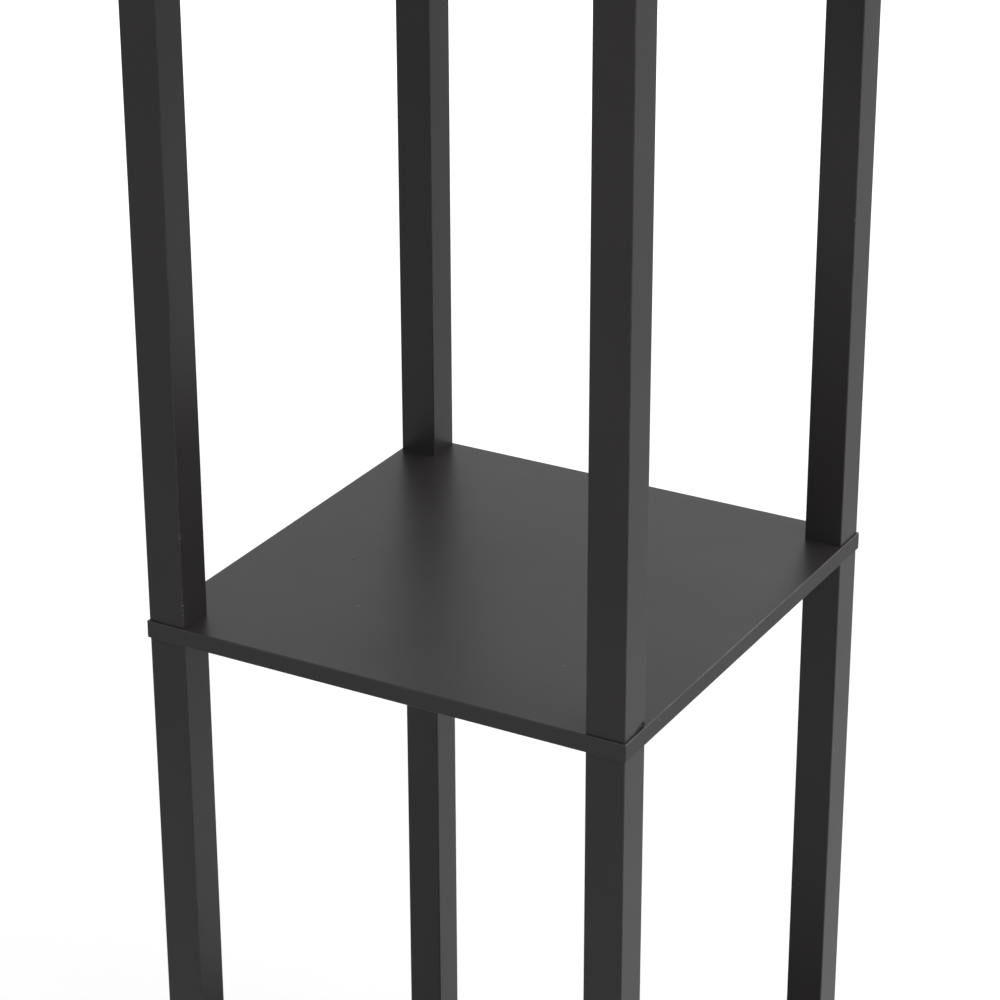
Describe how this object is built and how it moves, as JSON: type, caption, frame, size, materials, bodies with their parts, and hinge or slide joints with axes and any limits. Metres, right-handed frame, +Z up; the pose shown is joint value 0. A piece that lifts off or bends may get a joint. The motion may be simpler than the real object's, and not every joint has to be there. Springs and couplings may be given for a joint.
{
  "type": "shelf floor lamp",
  "caption": "Square tower floor lamp with open shelves between black corner posts and a box shade over a pull-chain lamp holder.",
  "frame": {"origin": "on the floor, under the middle of the square tower", "axes": "+Z up along the columns; -Y is the front, the side of the broad dark post faces in the picture; +X is the viewer's right"},
  "size_m": [0.26, 0.26, 1.5875],
  "materials": {
    "black_post": "satin black lacquer on wood",
    "black_board": "satin black lacquer on board",
    "grey_glide": "dark grey plastic",
    "zinc_steel": "zinc plated",
    "black_steel": "black oxide",
    "spring_steel": "spring wire",
    "nickel_sheet": "rolled nickel plated sheet",
    "brass": "satin brass",
    "black_plastic": "moulded black plastic",
    "clear_plastic": "natural nylon",
    "black_lead": "black sheath",
    "white_wire": "single wire insulation",
    "ceramic": "white insulating body",
    "shade_linen": "off-white linen",
    "shade_hem": "off-white bias tape",
    "white_frame": "white painted wire",
    "opal_globe": "opal",
    "bulb_plastic": "white plastic",
    "board_white": "white board"
  },
  "bodies": {
    "frame": {"bottom_shelf": "black_board", "centre_contact": "brass", "column_inserts": "zinc_steel", "column_nipples": "zinc_steel", "cord_gland": "black_plastic", "deck_screws": "black_steel", "fixture_wires": "white_wire", "foot_pad_front_left": "grey_glide", "foot_pad_front_right": "grey_glide", "foot_pad_rear_left": "grey_glide", "foot_pad_rear_right": "grey_glide", "foot_post_front_left": "black_post", "foot_post_front_right": "black_post", "foot_post_rear_left": "black_post", "foot_post_rear_right": "black_post", "inner_lead": "black_lead", "joint_studs": "zinc_steel", "lamp_nipple": "zinc_steel", "lead_clips": "clear_plastic", "lower_post_front_left": "black_post", "lower_post_front_right": "black_post", "lower_post_rear_left": "black_post", "lower_post_rear_right": "black_post", "middle_post_front_left": "black_post", "middle_post_front_right": "black_post", "middle_post_rear_left": "black_post", "middle_post_rear_right": "black_post", "middle_shelf": "black_board", "pad_screws": "zinc_steel", "screw_shell": "nickel_sheet", "small_screws": "zinc_steel", "socket_body": "ceramic", "socket_bracket": "zinc_steel", "socket_cap": "black_plastic", "socket_shell": "black_plastic", "stud_inserts": "zinc_steel", "switch_case": "brass", "switch_spring": "spring_steel", "thin_nuts": "zinc_steel", "top_deck": "black_board", "upper_post_front_left": "black_post", "upper_post_front_right": "black_post", "upper_post_rear_left": "black_post", "upper_post_rear_right": "black_post", "upper_shelf": "black_board"},
    "pull": {"pull_rod": "brass", "pull_chain": "brass", "chain_bell": "brass"},
    "shade": {"shade_skin": "shade_linen", "top_frame": "white_frame", "bottom_frame": "white_frame", "top_hem": "shade_hem", "bottom_hem": "shade_hem"},
    "shade_ring": {"shade_ring": "black_plastic"},
    "bulb": {"bulb_tip": "brass", "bulb_base": "nickel_sheet", "bulb_housing": "bulb_plastic", "led_board": "board_white", "bulb_globe": "opal_globe"}
  },
  "joints": [
    {"name": "chain_pull", "type": "slide", "parent": "frame", "child": "pull", "axis": [0, 0, -1], "range_m": [0, 0.01], "stiffness_N_per_m": 400, "springref_m": -0.003, "deforming": ["switch_spring"]},
    {"name": "shade_lift", "type": "slide", "parent": "frame", "child": "shade", "axis": [0, 0, 1], "range_m": [0, 0.12]},
    {"name": "ring_turn", "type": "hinge", "parent": "shade", "child": "shade_ring", "pos_m": [0, 0, 1.3047], "axis": [0, 0, 1], "range_deg": [0, 1440]},
    {"name": "bulb_lift", "type": "slide", "parent": "shade", "child": "bulb", "axis": [0, 0, 1], "range_m": [0, 0.3]}
  ]
}
